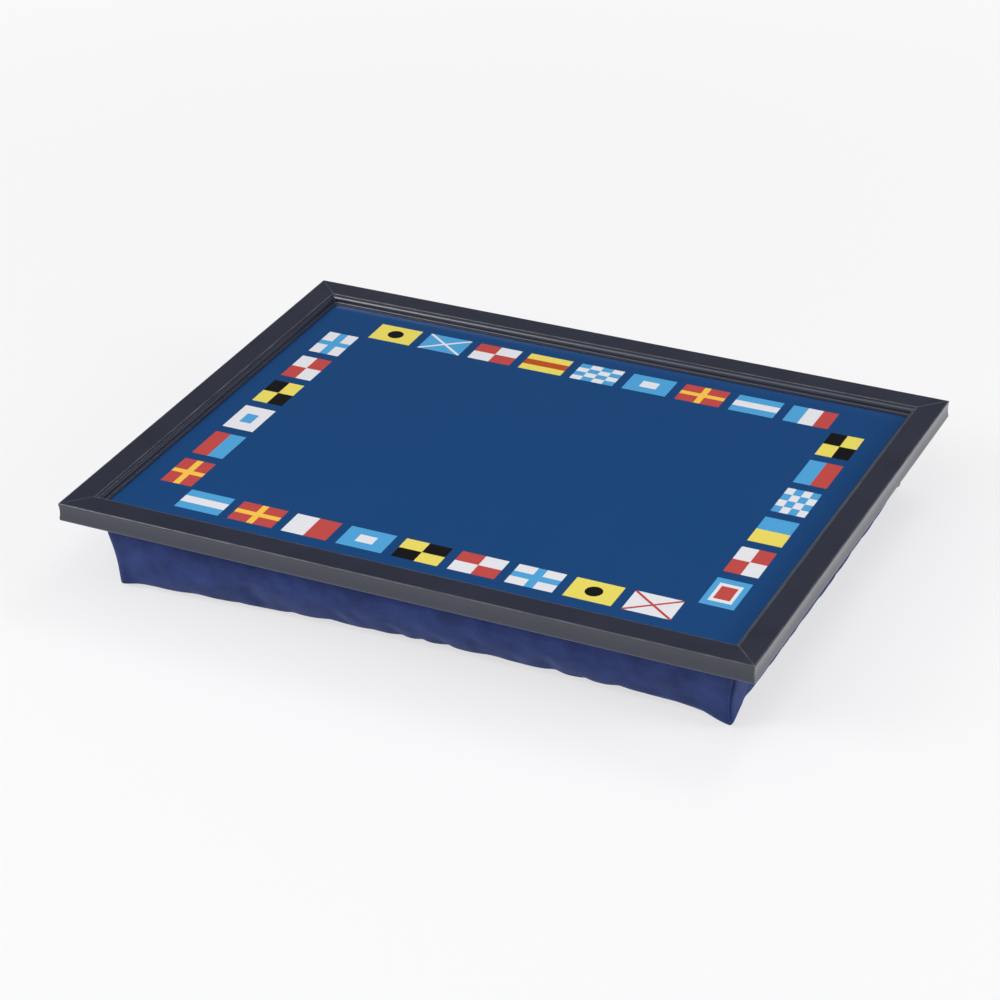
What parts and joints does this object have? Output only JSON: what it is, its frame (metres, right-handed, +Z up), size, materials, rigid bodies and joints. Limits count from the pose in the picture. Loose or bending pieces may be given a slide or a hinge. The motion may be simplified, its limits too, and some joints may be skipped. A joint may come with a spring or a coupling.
{
  "type": "lap tray",
  "caption": "Rectangular lap tray with a mitred dark frame, a recessed glossy printed surface and a bead-filled cloth cushion fixed under it.",
  "frame": {"origin": "on the floor under the middle of the tray", "axes": "+X along the tray's length, +Y towards its back, +Z up out of the printed surface"},
  "size_m": [0.44, 0.33, 0.06],
  "materials": {
    "painted_wood": "satin charcoal paint",
    "gloss_print": "high gloss laminate with a printed border",
    "fibreboard": "raw fibreboard",
    "navy_cloth": "brushed woven cloth",
    "beads": "expanded polystyrene beads",
    "steel": "bright wire"
  },
  "bodies": {
    "root": {"rail_front": "painted_wood", "rail_back": "painted_wood", "rail_left": "painted_wood", "rail_right": "painted_wood", "printed_laminate": "gloss_print", "tray_board": "fibreboard", "cushion_board": "fibreboard", "cover_front": "navy_cloth", "cover_back": "navy_cloth", "cover_left": "navy_cloth", "cover_right": "navy_cloth", "cover_base": "navy_cloth", "bead_filling": "beads", "v_nail_front_left_outer": "steel", "v_nail_front_left_inner": "steel", "v_nail_front_right_outer": "steel", "v_nail_front_right_inner": "steel", "v_nail_back_left_outer": "steel", "v_nail_back_left_inner": "steel", "v_nail_back_right_outer": "steel", "v_nail_back_right_inner": "steel", "panel_pin_front_1": "steel", "panel_pin_front_2": "steel", "panel_pin_front_3": "steel", "panel_pin_back_1": "steel", "panel_pin_back_2": "steel", "panel_pin_back_3": "steel", "panel_pin_left_1": "steel", "panel_pin_left_2": "steel", "panel_pin_right_1": "steel", "panel_pin_right_2": "steel", "staple_front_1": "steel", "staple_front_2": "steel", "staple_front_3": "steel", "staple_front_4": "steel", "staple_front_5": "steel", "staple_back_1": "steel", "staple_back_2": "steel", "staple_back_3": "steel", "staple_back_4": "steel", "staple_back_5": "steel", "staple_left_1": "steel", "staple_left_2": "steel", "staple_left_3": "steel", "staple_right_1": "steel", "staple_right_2": "steel", "staple_right_3": "steel"}
  },
  "joints": []
}
